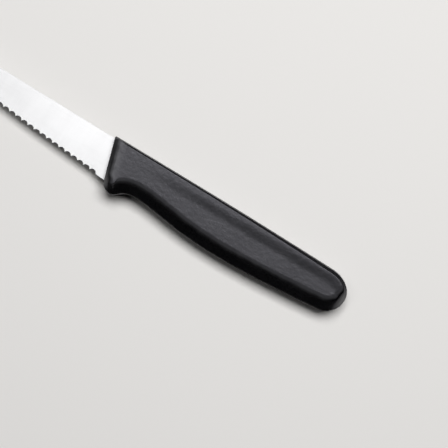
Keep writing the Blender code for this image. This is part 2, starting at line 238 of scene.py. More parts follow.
# Steel, whose fine lines are as long along each axis as their sizes say
STEEL_COLOUR = (0.468, 0.468, 0.473)
STEEL_ROUGHNESS = 0.50
STEEL_CLOUDS = (0.018, 2)
GROUND_POLISH = 0.08
LINE_DETAIL = 3
LINE_DULLING = 0.03
FLAT_LINE = (0.00011, 0.016, 0.016)
FLAT_LINE_DEPTH = 0.000003
TOOTH_LINE = (0.0009, 0.00005, 0.00005)
TOOTH_LINE_DEPTH = 0.000004
EDGE_LINE = (0.009, 0.00008, 0.00008)
EDGE_LINE_DEPTH = 0.000003
STEEL_SCRATCHES = ((4, 0.014, 0.00010, 0.70), (63, 0.005, 0.00008, 0.72))
STEEL_SCRATCH_DULLING = 0.05
STEEL_SCRATCH_DEPTH = 0.000002

# Floor, and the backdrop's tone that it gives way to far from the knife
FLOOR_REACH = 3
FLOOR_COLOUR = (0.69, 0.678, 0.663)
FLOOR_ROUGHNESS = 0.9
BACKDROP_COLOUR = (0.78, 0.77, 0.755)
FADE_START = 0.18
FADE_END = 0.42

# Light. Each soft light is its angle off the zenith, its azimuth, distance and size, and its radiance.
KEY_LIGHT = (21.0, 94, 1.1, (0.8, 0.44), 13.6)
FILL_LIGHT = (22, 180, 1.2, (0.24, 0.24), 5.0)
ROOM_DARK = 0.02
ROOM_LIGHT = 0.25
ROOM_FRONT_TO_BACK = (-0.7, 0.1)
ROOM_WALL_TO_CEILING = (0.6, 0.95)


def heading(angle):
    """The unit vector at an angle up from +X."""
    return Vector((math.cos(math.radians(angle)), math.sin(math.radians(angle))))


def curve_points(start, start_handle, end_handle, end, steps):
    """Points along one Bezier segment, without its end point."""
    return [p.to_2d() for p in interpolate_bezier(start, start_handle, end_handle, end, steps + 1)][:-1]


def arc_over(start, end, rise, steps):
    """Points of a circular arc between two points, which bulges to the right of the way, without its end."""
    chord = end - start
    right = Vector((chord.y, -chord.x)).normalized()
    radius = (chord.length ** 2 / 4 + rise ** 2) / (2 * rise)
    centre = (start + end) / 2 + right * (rise - radius)
    sweep = 2 * math.atan2(chord.length / 2, radius - rise)
    spoke = start - centre
    return [centre + Matrix.Rotation(sweep * k / steps, 2) @ spoke for k in range(steps)]


def flat_plate(name, outlines, thickness):
    """A flat plate from one closed outline, with every further outline cut out of it as a hole."""
    curve = bpy.data.curves.new(name, "CURVE")
    curve.dimensions = "2D"
    curve.fill_mode = "BOTH"
    curve.extrude = thickness / 2
    for outline in outlines:
        spline = curve.splines.new("POLY")
        spline.points.add(len(outline) - 1)
        for point, place in zip(spline.points, outline):
            point.co = (place.x, place.y, 0, 1)
        spline.use_cyclic_u = True
    drawn = bpy.data.objects.new(name, curve)
    bpy.context.scene.collection.objects.link(drawn)
    depsgraph = bpy.context.evaluated_depsgraph_get()
    mesh = bpy.data.meshes.new_from_object(drawn.evaluated_get(depsgraph))
    bpy.data.objects.remove(drawn)
    bpy.data.curves.remove(curve)
    welded = bmesh.new()
    welded.from_mesh(mesh)
    bmesh.ops.remove_doubles(welded, verts=welded.verts, dist=MERGE_DISTANCE)
    bmesh.ops.recalc_face_normals(welded, faces=welded.faces)
    welded.to_mesh(mesh)
    welded.free()
    mesh.shade_flat()
    plate = bpy.data.objects.new(name, mesh)
    bpy.context.scene.collection.objects.link(plate)
    return plate


def circle_points(centre, radius):
    """Points round a circle."""
    turns = [2 * math.pi * k / CIRCLE_STEPS for k in range(CIRCLE_STEPS)]
    return [centre + radius * Vector((math.cos(turn), math.sin(turn))) for turn in turns]


def cut_away(target, cutter):
    """Cuts one object's shape out of another's mesh, and removes the cutter."""
    modifier = target.modifiers.new(cutter.name, "BOOLEAN")
    modifier.operation = "DIFFERENCE"
    modifier.solver = "EXACT"
    modifier.object = cutter
    depsgraph = bpy.context.evaluated_depsgraph_get()
    result = bpy.data.meshes.new_from_object(target.evaluated_get(depsgraph))
    target.modifiers.remove(modifier)
    target.data = result
    bpy.data.objects.remove(cutter)


# Outline of the handle


def front_foot():
    """The lower end of the front face's straight run."""
    return Vector((FRONT_DEPTH * math.tan(math.radians(FRONT_SLANT)), -FRONT_DEPTH))


def front_distance(places):
    """How far places lie behind the plane of the front face."""
    slant = math.radians(FRONT_SLANT)
    return places[:, 0] * math.cos(slant) + places[:, 1] * math.sin(slant)


def top_height(reach):
    """Height of the handle's top line, which runs straight and then falls away towards the butt."""
    end = HANDLE_LENGTH - BUTT_UPPER_ROUND
    share = max((reach - TOP_STRAIGHT) / (end - TOP_STRAIGHT), 0)
    return -TOP_FALL * share ** 2


def butt_tip():
    """The rearmost point."""
    return Vector((HANDLE_LENGTH, -BUTT_DEPTH))


def guard_back():
    """Where the guard gives way to the finger rest."""
    return Vector((GUARD_BACK_REACH, -GUARD_BACK_DEPTH))


def belly_end():
    """Where the belly gives way to the butt."""
    return Vector((HANDLE_LENGTH - BUTT_LOWER_ROUND, -BELLY_END_DEPTH))


def upper_butt(steps):
    """The round from the end of the top line to the rearmost point."""
    end = HANDLE_LENGTH - BUTT_UPPER_ROUND
    start = Vector((end, top_height(end)))
    tip = butt_tip()
    slope = 2 * TOP_FALL / (end - TOP_STRAIGHT)
    start_handle = start + Vector((1, -slope)) * BUTT_UPPER_ROUND * CIRCLE_HANDLE
    end_handle = tip + Vector((0, start.y - tip.y)) * CIRCLE_HANDLE
    return curve_points(start, start_handle, end_handle, tip, steps)


def guard_edge(steps):
    """The lower edge from the foot of the front face round the guard to the start of the finger rest."""
    foot = front_foot()
    guard = Vector((GUARD_REACH, -GUARD_DEPTH))
    back = guard_back()
    along = Vector((1, 0))
    down = heading(FRONT_SLANT - 90)
    back_rise = heading(GUARD_BACK_ANGLE)
    down_run = (foot.y - guard.y) * CIRCLE_HANDLE
    guard_run = (guard.x - foot.x) * CIRCLE_HANDLE
    back_run = (back - guard).length / 3
    points = curve_points(foot, foot + down * down_run, guard - along * guard_run, guard, steps)
    points += curve_points(guard, guard + along * back_run, back - back_rise * back_run, back, steps // 2)
    return points


def belly_edge(steps):
    """The lower edge from behind the guard along the belly to the start of the butt."""
    back = guard_back()
    finger = Vector((FINGER_REACH, -FINGER_DEPTH))
    belly = Vector((BELLY_REACH, -BELLY_DEPTH))
    end = belly_end()
    along = Vector((1, 0))
    back_rise = heading(GUARD_BACK_ANGLE)
    end_rise = heading(BELLY_END_ANGLE)
    neck_run = (finger - back).length / 3
    end_run = (end - belly).length / 3
    finger_handle = finger + along * FINGER_RUN
    belly_handle = belly - along * BELLY_FRONT_RUN
    points = curve_points(back, back + back_rise * neck_run, finger - along * neck_run, finger, steps // 4)
    points += curve_points(finger, finger_handle, belly_handle, belly, steps)
    points += curve_points(belly, belly + along * BELLY_REAR_RUN, end - end_rise * end_run, end, steps)
    return points


def lower_butt(steps):
    """The round from the end of the belly to the rearmost point."""
    end = belly_end()
    tip = butt_tip()
    butt_run = BUTT_LOWER_ROUND * CIRCLE_HANDLE
    tip_drop = Vector((0, (tip.y - end.y) * CIRCLE_HANDLE))
    return curve_points(end, end + heading(BELLY_END_ANGLE) * butt_run, tip - tip_drop, tip, steps)


def rim():
    """The outline without the front face, as closely spaced places and the outward normal at each."""
    top_end = HANDLE_LENGTH - BUTT_UPPER_ROUND
    reaches = np.linspace(0, top_end, TOP_LINE_STEPS, endpoint=False)
    top = [Vector((reach, top_height(reach))) for reach in reaches]
    lower = lower_butt(ROUND_STEPS) + [butt_tip()]
    grip = guard_edge(ROUND_STEPS) + belly_edge(LONG_LINE_STEPS)
    clockwise = top + upper_butt(ROUND_STEPS) + lower[::-1] + grip[::-1]
    places = np.array([(p.x, p.y) for p in clockwise])
    steps = np.gradient(places, axis=0)
    normals = np.stack((-steps[:, 1], steps[:, 0]), axis=1)
    return places, normals / np.linalg.norm(normals, axis=1, keepdims=True)


# Surface of the handle


def rounding(distance, radius):
    """How much a rounded edge takes off the height at a distance inside it."""
    return radius - np.sqrt(radius ** 2 - np.maximum(radius - distance, 0) ** 2)


def soft_lower(first, second, blend):
    """The lower of two heights, run into one another where they differ by less than the blend."""
    share = np.clip(0.5 + (second - first) / (2 * blend), 0, 1)
    return first * share + second * (1 - share) - blend * share * (1 - share)


def steep_wall(distance, angle):
    """Height of a leaning wall that turns upright at the parting line in a round nose."""
    lean = math.radians(angle)
    nose = np.sqrt(NOSE_RADIUS ** 2 - np.maximum(NOSE_RADIUS - distance, 0) ** 2)
    straight = NOSE_RADIUS * (1 - math.sin(lean)) / math.cos(lean) + distance * math.tan(lean)
    return RIM_HEIGHT + np.where(distance < NOSE_RADIUS * (1 - math.sin(lean)), nose, straight)


def chamfered(flat, distance, width, flat_run, chamfer_angle, wall_angle, wall_blend):
    """Height of an edge with a steep wall and a chamfer below the flat, all run into one another."""
    rise = math.tan(math.radians(chamfer_angle))
    chamfer = flat - (width - distance) * rise
    turned = soft_lower(flat, chamfer, flat_run * rise)
    return soft_lower(turned, steep_wall(distance, wall_angle), wall_blend)


def smooth_step(value, start, end):
    """A value's share of the way from a start to an end, eased at both."""
    share = np.clip((value - start) / (end - start), 0, 1)
    return share * share * (3 - 2 * share)


def rim_shares(rim_places, rim_normals):
    """How far places on the rim count as the top edge, the butt, and the belly or guard."""
    butt_share = np.where(rim_places[:, 0] > BELLY_REACH, np.abs(rim_normals[:, 0]) ** BUTT_TURN_POWER, 0)
    top_share = np.where(rim_normals[:, 1] > 0, 1 - butt_share, 0)
    return top_share, butt_share, 1 - butt_share - top_share


def nearest_rim(places):
    """For every place, the number of the nearest place on the rim and its distance inside it."""
    rim_places, rim_normals = rim()
    nearest = np.empty(len(places), int)
    for first in range(0, len(places), PLACES_AT_ONCE):
        block = slice(first, first + PLACES_AT_ONCE)
        offsets = rim_places[None, :, :] - places[block][:, None, :]
        nearest[block] = (offsets ** 2).sum(axis=2).argmin(axis=1)
    offsets = rim_places[nearest] - places
    distances = (offsets * rim_normals[nearest]).sum(axis=1)
    past_foot = nearest == len(rim_places) - 1
    distances[past_foot] = np.linalg.norm(offsets[past_foot], axis=1)
    return nearest, np.maximum(distances, 0)


def top_widths(places):
    """How wide the top edge's chamfer is at places along the handle."""
    return TOP_FRONT_WIDTH + (TOP_REAR_WIDTH - TOP_FRONT_WIDTH) * (places[:, 0] / HANDLE_LENGTH) ** 2


def belly_widths(rim_places):
    """How wide the chamfer is at places on the rim of the guard and the belly."""
    span = (front_foot().x, GUARD_BACK_REACH)
    return np.interp(rim_places[:, 0], span, (GUARD_CHAMFER_WIDTH, BELLY_CHAMFER_WIDTH))


def sinks(reaches, distance, top_share, butt_share):
    """How deep the side's flat has sunk."""
    shift = TOP_SINK_SHIFT * (reaches / HANDLE_LENGTH) ** 3
    from_top = smooth_step(distance + shift, TOP_SINK_EDGE, TOP_SINK_FLOOR)
    from_butt = smooth_step(distance, BUTT_SINK_EDGE, BUTT_SINK_FLOOR)
    across = top_share * from_top + butt_share * from_butt + (1 - top_share - butt_share)
    return SINK_DEPTH * across * smooth_step(reaches, SINK_START, SINK_FULL)


def side_heights(places):
    """Height of the handle's side above its middle plane, with its worked edges and its shallow hollow."""
    rim_places, rim_normals = rim()
    nearest, distance = nearest_rim(places)
    top_share, butt_share, belly_share = rim_shares(rim_places[nearest], rim_normals[nearest])
    flat = HALF_THICKNESS - sinks(places[:, 0], distance, top_share, butt_share)
    top = chamfered(flat, distance, top_widths(places), *TOP_CHAMFER)
    butt = chamfered(flat, distance, BUTT_CHAMFER_WIDTH, *BUTT_CHAMFER)
    belly = chamfered(flat, distance, belly_widths(rim_places[nearest]), *BELLY_CHAMFER)
    behind = np.maximum(front_distance(places), 0)
    front_cut = rounding(behind, FRONT_EDGE_RADIUS)
    front_cut += FRONT_CROWN * np.clip(1 - behind / FRONT_CROWN_WIDTH, 0, 1) ** 2
    height = top_share * top + butt_share * butt + belly_share * belly
    return height * (1 - front_cut / HALF_THICKNESS)


def worn_and_highlighted(places):
    """How far hands rubbed places on the side, from 0 to 1, most where its flat turns into an edge, with a
    highlight painted just behind the front face.
    """
    rim_places, rim_normals = rim()
    nearest, distance = nearest_rim(places)
    top_share, butt_share, belly_share = rim_shares(rim_places[nearest], rim_normals[nearest])
    belly_turn = belly_widths(rim_places[nearest])
    turn = top_share * top_widths(places) + butt_share * BUTT_CHAMFER_WIDTH + belly_share * belly_turn
    behind = front_distance(places)
    wear_and_highlight = TOP_RUB * top_share + BUTT_RUB * butt_share + BELLY_RUB * belly_share
    at_rim = np.exp(-((distance - turn) / RUB_SPREAD) ** 2) * wear_and_highlight
    # A painted highlight along the front face, just behind its rounded edge
    front_highlight = np.exp(-(np.maximum(behind - FRONT_EDGE_RADIUS, 0) / FRONT_HIGHLIGHT_SPREAD) ** 2)
    front_highlight *= smooth_step(behind, 0, FRONT_EDGE_RADIUS) * smooth_step(places[:, 1], *FRONT_HIGHLIGHT_FOOT)
    return np.clip(np.maximum(at_rim, front_highlight), 0, 1)


def evenly(points, count):
    """The given number of points, evenly spaced along a line of points, both ends included."""
    places = np.array([(p.x, p.y) for p in points])
    lengths = np.concatenate(([0], np.cumsum(np.linalg.norm(np.diff(places, axis=0), axis=1))))
    stations = np.linspace(0, lengths[-1], count)
    return np.stack([np.interp(stations, lengths, places[:, axis]) for axis in (0, 1)], axis=1)


def rim_points():
    """The mesh's rim, clockwise from the front face's top corner.

    The second array numbers the point of the middle line that each place looks in at. The third says which
    places lie on the front face.
    """
    top_end = HANDLE_LENGTH - BUTT_UPPER_ROUND
    reaches = np.linspace(TOP_LEAD, top_end, LONG_LINE_STEPS)
    lead = evenly([Vector((0, 0)), Vector((TOP_LEAD, 0))], CORNER_STEPS)[:-1]
    top = evenly([Vector((reach, top_height(reach))) for reach in reaches], STATIONS)
    upper = evenly(upper_butt(ROUND_STEPS) + [butt_tip()], BUTT_STEPS + 1)[1:]
    lower = evenly(lower_butt(ROUND_STEPS) + [butt_tip()], BUTT_STEPS + 1)[1:-1][::-1]
    belly = evenly(belly_edge(LONG_LINE_STEPS) + [belly_end()], STATIONS)[::-1]
    guard = evenly(guard_edge(ROUND_STEPS) + [guard_back()], GUARD_STEPS + 1)[:-1][::-1]
    front = evenly([front_foot(), Vector((0, 0))], CORNER_STEPS * 2)[1:-1]
    places = np.concatenate((lead, top, upper, lower, belly, guard, front))
    along = np.arange(STATIONS)
    round_butt = np.full(len(upper) + len(lower), STATIONS - 1)
    round_front = np.zeros(len(guard) + len(front), int)
    inner = np.concatenate((np.zeros(len(lead), int), along, round_butt, along[::-1], round_front))
    on_front = np.zeros(len(places), bool)
    on_front[-len(front):] = True
    return places, inner, on_front


def rim_outward(places):
    """The outward direction at every point of the closed rim."""
    steps = np.roll(places, -1, axis=0) - np.roll(places, 1, axis=0)
    normals = np.stack((-steps[:, 1], steps[:, 0]), axis=1)
    return normals / np.linalg.norm(normals, axis=1, keepdims=True)


def wall_rings(places, rim_heights, on_front):
    """Rings of points down the low wall under the rim and out over half of the parting line."""
    rings = []
    for row in range(WALL_ROWS):
        share = 1 - (row + 1) / WALL_ROWS
        heights = PARTING_HALF_WIDTH + (rim_heights - PARTING_HALF_WIDTH) * share
        rings.append(np.column_stack((places, heights)))
    crest = places + rim_outward(places) * PARTING_RISE * (~on_front)[:, None]
    rings.append(np.column_stack((crest, np.full(len(places), PARTING_HALF_WIDTH * PARTING_LEVEL_SHARE))))
    rings.append(np.column_stack((crest, np.zeros(len(places)))))
    return rings


def side_faces(count, inner):
    """Faces between the side's rings of points, and from the last ring in to the middle line."""
    faces = []
    for first in range(0, (ROWS - 1) * count, count):
        second = first + count
        for k in range(count):
            ahead = (k + 1) % count
            faces.append((first + k, first + ahead, second + ahead, second + k))
    last = (ROWS - 1) * count
    middle = ROWS * count
    for k in range(count):
        ahead = (k + 1) % count
        face = (last + k, last + ahead, middle + inner[ahead], middle + inner[k])
        faces.append(face if inner[ahead] != inner[k] else face[:3])
    return faces


def wall_faces(count, first_ring):
    """Faces from the rim down to the middle plane."""
    faces = []
    rings = [0] + [first_ring + row * count for row in range(WALL_ROWS + 2)]
    for above, below in zip(rings, rings[1:]):
        for k in range(count):
            ahead = (k + 1) % count
            faces.append((above + ahead, above + k, below + k, below + ahead))
    return faces


def half_handle():
    """The vertices and faces of the handle's upper half, which is open at the middle plane."""
    places, inner, on_front = rim_points()
    middle = np.linspace(MIDDLE_FRONT, MIDDLE_BUTT, STATIONS)
    inward = middle[inner] - places
    shares = 1 - np.cos(np.pi / 2 * np.arange(ROWS) / ROWS)
    rings = (places[None] + shares[:, None, None] * inward[None]).reshape(-1, 2)
    flat = np.concatenate((rings, middle))
    heights = side_heights(flat)
    side = np.column_stack((flat, heights))
    walls = wall_rings(places, heights[:len(places)], on_front)
    vertices = np.concatenate([side] + walls)
    return vertices, side_faces(len(places), inner) + wall_faces(len(places), len(side))


def make_handle():
    """The whole handle: the half and its mirror image, without the pocket for the tang."""
    vertices, faces = half_handle()
    mesh = bpy.data.meshes.new("moulded_handle")
    mesh.from_pydata(vertices.tolist(), [], [tuple(int(v) for v in face) for face in faces])
    whole = bmesh.new()
    whole.from_mesh(mesh)
    other = bmesh.ops.duplicate(whole, geom=whole.verts[:] + whole.edges[:] + whole.faces[:])["geom"]
    mirrored = [item for item in other if isinstance(item, bmesh.types.BMVert)]
    bmesh.ops.scale(whole, vec=(1, 1, -1), verts=mirrored)
    bmesh.ops.reverse_faces(whole, faces=[item for item in other if isinstance(item, bmesh.types.BMFace)])
    bmesh.ops.remove_doubles(whole, verts=whole.verts, dist=MERGE_DISTANCE)
    bmesh.ops.recalc_face_normals(whole, faces=whole.faces)
    whole.to_mesh(mesh)
    whole.free()
    handle = bpy.data.objects.new("moulded_handle", mesh)
    bpy.context.scene.collection.objects.link(handle)
    cut_away(handle, make_pocket())
    count = len(handle.data.vertices)
    places = np.empty(3 * count)
    handle.data.vertices.foreach_get("co", places)
    # The rubbed edges and the painted front highlight, which the material turns lighter grey
    wear_and_highlight = handle.data.attributes.new("wear_and_highlight", "FLOAT", "POINT")
    wear_and_highlight.data.foreach_set("value", worn_and_highlighted(places.reshape(count, 3)[:, :2]).astype(np.float32))
    handle.data.transform(Matrix.Translation(DATUM))
    handle.data.shade_smooth()
    handle.data.set_sharp_from_angle(angle=math.radians(HANDLE_SHARP_ANGLE))
    return handle


# Blade, drawn from where its spine leaves the handle, with +X along the spine towards the butt


def front_line(depth, inset=0):
    """Reach of a line parallel to the handle's front face, at a depth below the spine."""
    slant = math.radians(FRONT_SLANT + SPINE_RISE_ANGLE)
    return depth * math.tan(slant) + inset / math.cos(slant)


def heel():
    """Where the edge line meets the handle."""
    return Vector((front_line(HEEL_WIDTH), -HEEL_WIDTH))


def edge_line():
    """The edge from the heel to the tip as many short steps, so that teeth can be set out along it."""
    start = heel()
    tip = Vector((-BLADE_LENGTH, -TIP_DROP))
    start_handle = start - heading(-HEEL_EDGE_ANGLE) * HEEL_EDGE_RUN
    end_handle = tip + heading(-TIP_EDGE_ANGLE) * TIP_EDGE_RUN
    return curve_points(start, start_handle, end_handle, tip, EDGE_CURVE_STEPS) + [tip]


def spine_line():
    """The spine's last stretch, from where it starts to drop to just before the tip."""
    start = Vector((TIP_DROP_LENGTH - BLADE_LENGTH, 0))
    tip = Vector((-BLADE_LENGTH, -TIP_DROP))
    middle = Vector(((start.x * 2 + tip.x) / 3, 0))
    late = Vector(((start.x + tip.x * 2) / 3, -TIP_DROP / 3))
    return curve_points(start, middle, late, tip, SPINE_STEPS)


def edge_height(reach):
    """Height of the edge line carried straight on from the heel into the handle."""
    start = heel()
    return start.y - (reach - start.x) * math.tan(math.radians(HEEL_EDGE_ANGLE))


def tang_outline(grow):
    """The blank inside the handle, from the shoulder at the spine round the tang to the other shoulder."""
    tang_foot = TANG_DROP + TANG_WIDTH
    radius = TANG_WIDTH / 2
    centre = Vector((TANG_LENGTH - radius, -TANG_DROP - radius))
    low_shoulder = edge_height(front_line(HEEL_WIDTH, SHOULDER_INSET + grow)) - grow
    upper = [
        Vector((front_line(-grow, SHOULDER_INSET + grow), grow)),
        Vector((front_line(TANG_DROP - grow, SHOULDER_INSET + grow), grow - TANG_DROP)),
    ]
    turns = [math.pi / 2 - math.pi * k / CIRCLE_STEPS * 2 for k in range(CIRCLE_STEPS // 2 + 1)]
    end = [centre + (radius + grow) * Vector((math.cos(turn), math.sin(turn))) for turn in turns]
    lower = [
        Vector((front_line(tang_foot + grow, SHOULDER_INSET + grow), -tang_foot - grow)),
        Vector((front_line(-low_shoulder, SHOULDER_INSET + grow), low_shoulder)),
    ]
    return upper + end + lower


def tang_holes():
    """The centres of the tang's two holes."""
    height = -TANG_DROP - TANG_WIDTH / 2
    return (Vector((FRONT_HOLE_REACH, height)), Vector((TANG_LENGTH - REAR_HOLE_INSET, height)))


def cusps():
    """Points of the teeth, just inside the edge line and evenly spaced between its two plain stretches."""
    places = np.array([(p.x, p.y + GRIND_INSET) for p in edge_line()])
    lengths = np.concatenate(([0], np.cumsum(np.linalg.norm(np.diff(places, axis=0), axis=1))))
    count = int((lengths[-1] - RICASSO - TIP_PLAIN) / TOOTH_PITCH)
    stations = RICASSO + TOOTH_PITCH * np.arange(count + 1)
    return [Vector((float(np.interp(s, lengths, places[:, 0])), float(np.interp(s, lengths, places[:, 1]))))
            for s in stations]


def serration_cutter():
    """A plate with a lobe for each gullet, which leans so that it grinds the lower side further back."""
    points = cusps()
    outline = []
    for start, end in zip(points, points[1:]):
        outline += arc_over(start, end, GULLET_DEPTH, GULLET_STEPS)
    outline.append(points[-1])
    plain = [Vector((p.x, p.y + GRIND_INSET)) for p in edge_line()[::EDGE_CURVE_STEPS // EDGE_STEPS_KEPT]]
    outline += [p for p in plain if p.x < points[-1].x - LAST_CUSP_GAP]
    outline.append(outline[-1] - heading(-TIP_EDGE_ANGLE) * CUTTER_OVERSHOOT)
    floor = -HEEL_WIDTH - CUTTER_OVERSHOOT
    outline += [Vector((outline[-1].x, floor)), Vector((points[0].x, floor))]
    cutter = flat_plate("serration_cutter", [outline], CUTTER_THICKNESS)
    lean = Matrix.Identity(4)
    lean[1][2] = -1 / math.tan(math.radians(GRIND_ANGLE))
    lean[1][3] = BLADE_THICKNESS / 2 / math.tan(math.radians(GRIND_ANGLE))
    cutter.data.transform(lean)
    return cutter


def blade_place():
    """Places the blade's own frame where its spine leaves the handle."""
    offset = Vector((SPINE_DEPTH * math.tan(math.radians(FRONT_SLANT)), -SPINE_DEPTH, 0))
    return Matrix.Translation(DATUM + offset) @ Matrix.Rotation(math.radians(-SPINE_RISE_ANGLE), 4, "Z")


def soften_corners(mesh, reach):
    """Rounds the corners between the flats and the upright edges of a plate, as far back as a reach."""
    shape = bmesh.new()
    shape.from_mesh(mesh)
    corners = []
    for edge in shape.edges:
        tilts = sorted(abs(face.normal.z) for face in edge.link_faces)
        exposed = max(vertex.co.x for vertex in edge.verts) < reach
        if exposed and len(tilts) == 2 and tilts[0] < UPRIGHT_TILT and tilts[1] > 1 - UPRIGHT_TILT:
            corners.append(edge)
    bmesh.ops.bevel(shape, geom=corners, offset=CORNER_SOFTENING, segments=CORNER_ROWS,
                    profile=ROUND_PROFILE, affect="EDGES", clamp_overlap=True)
    shape.to_mesh(mesh)
    shape.free()


def make_blade():
    """The blade in one with its tang, with a material each for its flats, ground faces and other edges."""
    holes = [circle_points(centre, TANG_HOLE_RADIUS) for centre in tang_holes()]
    outline = spine_line()[::-1] + tang_outline(0) + edge_line()[::EDGE_CURVE_STEPS // EDGE_STEPS_KEPT]
    blade = flat_plate("ground_blade", [outline] + holes, BLADE_THICKNESS)
    cut_away(blade, serration_cutter())
    soften_corners(blade.data, SHOULDER_INSET)
    for face in blade.data.polygons:
        tilt = face.normal.z
        if -1 + UPRIGHT_TILT < tilt < -math.sin(math.radians(GRIND_ANGLE)):
            face.material_index = GROUND_FACES
        elif abs(tilt) < 1 - UPRIGHT_TILT:
            face.material_index = EDGE_FACES
    blade.data.transform(blade_place())
    blade.data.shade_smooth()
    blade.data.set_sharp_from_angle(angle=math.radians(BLADE_SHARP_ANGLE))
    for face in blade.data.polygons:
        if abs(face.normal.z) > 1 - UPRIGHT_TILT:
            face.use_smooth = False
    return blade


def make_pocket():
    """The room round the tang, open at the front face, with the handle's two pegs left standing."""
    mouth = -CUTTER_OVERSHOOT
    outline = [Vector((mouth, SEAM))] + tang_outline(SEAM) + [Vector((mouth, edge_height(mouth) - SEAM))]
    pegs = [circle_points(centre, TANG_HOLE_RADIUS - SEAM) for centre in tang_holes()]
    pocket = flat_plate("tang_pocket", [outline] + pegs, BLADE_THICKNESS + 2 * SEAM)
    pocket.data.transform(Matrix.Translation(-DATUM) @ blade_place())
    return pocket


# Materials


def new_material(name):
    """A material, its nodes and its main shader."""
    material = bpy.data.materials.new(name)
    material.use_nodes = True
    return material, material.node_tree, material.node_tree.nodes["Principled BSDF"]


def add(tree, kind, sockets, **settings):
    """Adds a shader node, whose sockets take plain values or other nodes' outputs."""
    made = tree.nodes.new(kind)
    for name, value in settings.items():
        setattr(made, name, value)
    for name, value in sockets.items():
        if isinstance(value, bpy.types.NodeSocket):
            tree.links.new(value, made.inputs[name])
        else:
            made.inputs[name].default_value = value
    return made


def speckle(tree, place, size, detail):
    """Noise with features of one size, or of one size along each axis, as a value near 0.5."""
    sizes = size if isinstance(size, tuple) else (size, size, size)
    spread = add(tree, "ShaderNodeMapping", {"Vector": place, "Scale": sizes}, vector_type="TEXTURE")
    noise = add(tree, "ShaderNodeTexNoise", {"Vector": spread.outputs[0], "Scale": 1, "Detail": detail})
    return noise.outputs["Fac"]


def ramp(tree, value, start, end, low, high):
    """A value carried from one span to another, and held at its ends."""
    sockets = {"Value": value, "From Min": start, "From Max": end, "To Min": low, "To Max": high}
    return add(tree, "ShaderNodeMapRange", sockets).outputs["Result"]


def combine(tree, operation, first, second):
    """What an arithmetic operation makes of two values."""
    return add(tree, "ShaderNodeMath", {0: first, 1: second}, operation=operation).outputs[0]


def hairlines(tree, place, angle, length, width, rarity):
    """Thin straight marks at an angle: 1 on a mark and 0 beside it."""
    sockets = {"Vector": place, "Rotation": (0, 0, math.radians(angle)), "Scale": (length, width, length)}
    spread = add(tree, "ShaderNodeMapping", sockets, vector_type="TEXTURE")
    noise = add(tree, "ShaderNodeTexNoise", {"Vector": spread.outputs[0], "Scale": 1, "Detail": 0})
    return ramp(tree, noise.outputs["Fac"], rarity, rarity + HAIRLINE_BLUR, 0, 1)


def crossed_hairlines(tree, place, kinds):
    """Several kinds of hairline, laid over one another."""
    marks = hairlines(tree, place, *kinds[0])
    for kind in kinds[1:]:
        marks = combine(tree, "MAXIMUM", marks, hairlines(tree, place, *kind))
    return marks


def bump(tree, height, depth, beneath=None):
    """A bump of a depth in metres, laid over another one if there is one beneath."""
    sockets = {"Height": height, "Strength": 1, "Distance": depth}
    if beneath:
        sockets["Normal"] = beneath
    return add(tree, "ShaderNodeBump", sockets).outputs["Normal"]


def plastic_scratches(tree, place, level):
    """Hairline scratches on the level parts, more in some patches than in others."""
    patches = ramp(tree, speckle(tree, place, *SCRATCHED_PATCHES), *SCRATCHED_SHARES)
    handled = combine(tree, "MULTIPLY", crossed_hairlines(tree, place, SCRATCHES), patches)
    return combine(tree, "MULTIPLY", handled, ramp(tree, level, *SCRATCHED_LEVELS, 0, 1))


def plastic_colour(tree, place, wear_and_highlight, scratches):
    """Black, greyer in patches where it is rubbed and where a highlight is painted behind the front face,
    and along the scratches.
    """
    patches = ramp(tree, speckle(tree, place, *WEAR_AND_HIGHLIGHT_PATCHES), *WEAR_AND_HIGHLIGHT_SHARES)
    patchy_wear_and_highlight = combine(tree, "MULTIPLY", wear_and_highlight, patches)
    marks = combine(tree, "MAXIMUM", patchy_wear_and_highlight, combine(tree, "MULTIPLY", scratches, SCRATCH_PALENESS))
    # Mixes in the lighter grey of the rubbed corners and of the painted front highlight
    sockets = {MIX_SHARE: marks, MIX_FIRST: (*PLASTIC_COLOUR, 1), MIX_SECOND: (*RUBBED_AND_HIGHLIGHT_COLOUR, 1)}
    return add(tree, "ShaderNodeMix", sockets, data_type="RGBA").outputs[MIXED_COLOUR]


def plastic_roughness(tree, place, level, wear_and_highlight, scratches):
    """Cloudy, glossier on chamfers, and duller on walls, where the flat turns over, where it is worn and
    where the front highlight is painted.
    """
    least = PLASTIC_ROUGHNESS - ROUGHNESS_SPREAD
    most = PLASTIC_ROUGHNESS + ROUGHNESS_SPREAD
    clouds = ramp(tree, speckle(tree, place, *PLASTIC_CLOUDS), *NOISE_SPAN, least, most)
    walls = ramp(tree, level, *WALL_LEVELS, WALL_ROUGHNESS - PLASTIC_ROUGHNESS, 0)
    polish = ramp(tree, level, *POLISH_LEVELS, -POLISH, 0)
    ridge = combine(tree, "MULTIPLY", ramp(tree, level, *RIDGE_START, 0, RIDGE_DULLING),
                    ramp(tree, level, *RIDGE_END, 1, 0))
    shaped = combine(tree, "ADD", combine(tree, "ADD", walls, polish), ridge)
    dulled = combine(tree, "ADD", shaped, combine(tree, "MULTIPLY", wear_and_highlight, RUBBED_DULLING))
    scored = combine(tree, "ADD", dulled, combine(tree, "MULTIPLY", scratches, SCRATCH_DULLING))
    return combine(tree, "ADD", clouds, scored)


def plastic_relief(tree, place, scratches):
    """The mould's fine grain over low waves, with the scratches cut in."""
    grain = bump(tree, speckle(tree, place, *GRAIN), GRAIN_DEPTH)
    waves = bump(tree, speckle(tree, place, *WAVES), WAVE_DEPTH, grain)
    return bump(tree, combine(tree, "SUBTRACT", 1, scratches), SCRATCH_DEPTH, waves)


